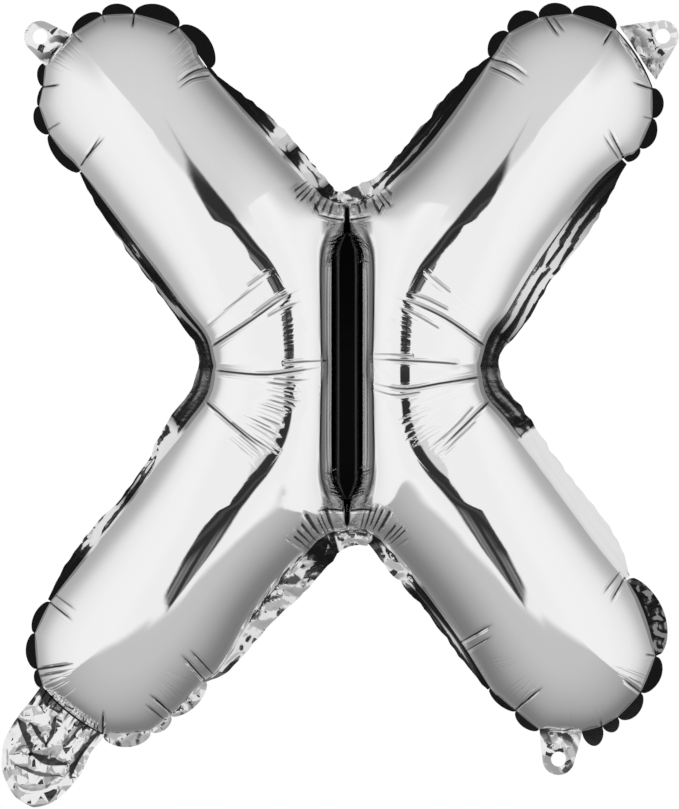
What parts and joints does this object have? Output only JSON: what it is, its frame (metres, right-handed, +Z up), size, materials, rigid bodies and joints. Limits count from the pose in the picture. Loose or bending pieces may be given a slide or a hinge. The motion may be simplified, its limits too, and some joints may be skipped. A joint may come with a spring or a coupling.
{
  "type": "letter foil balloon",
  "caption": "Air-filled silver foil balloon in the shape of a letter, with scalloped weld margins, holed hanging tabs and a limp filling tail.",
  "frame": {"origin": "middle of the letter, in the plane where the two films are welded together", "axes": "+Z up the letter, +X to the reader's right, -Y out of the front film towards the reader"},
  "size_m": [0.3154, 0.0684, 0.3703],
  "materials": {
    "mirror_film": "taut mirror-bright silver foil film",
    "margin_film": "welded silver foil film, slightly crinkled",
    "tail_film": "limp crumpled silver foil film"
  },
  "bodies": {
    "balloon": {"front_film_left": "mirror_film", "front_film_right": "mirror_film", "back_film_left": "mirror_film", "back_film_right": "mirror_film", "centre_weld": "mirror_film", "scallops_upper_left": "margin_film", "scallops_upper_right": "margin_film", "scallops_lower_left": "margin_film", "scallops_lower_right": "margin_film", "margin_left": "margin_film", "margin_right": "margin_film", "margin_top": "margin_film", "margin_bottom": "margin_film", "tab_upper_left": "margin_film", "tab_upper_right": "margin_film", "tab_lower_right": "margin_film", "tail_neck": "tail_film"},
    "tail": {"fill_tail": "tail_film"}
  },
  "joints": [
    {"name": "tail_bend", "type": "hinge", "parent": "balloon", "child": "tail", "pos_m": [-0.13331, 0, -0.16769], "axis": [0.8526, 0, -0.5225], "range_deg": [-75, 75]}
  ]
}
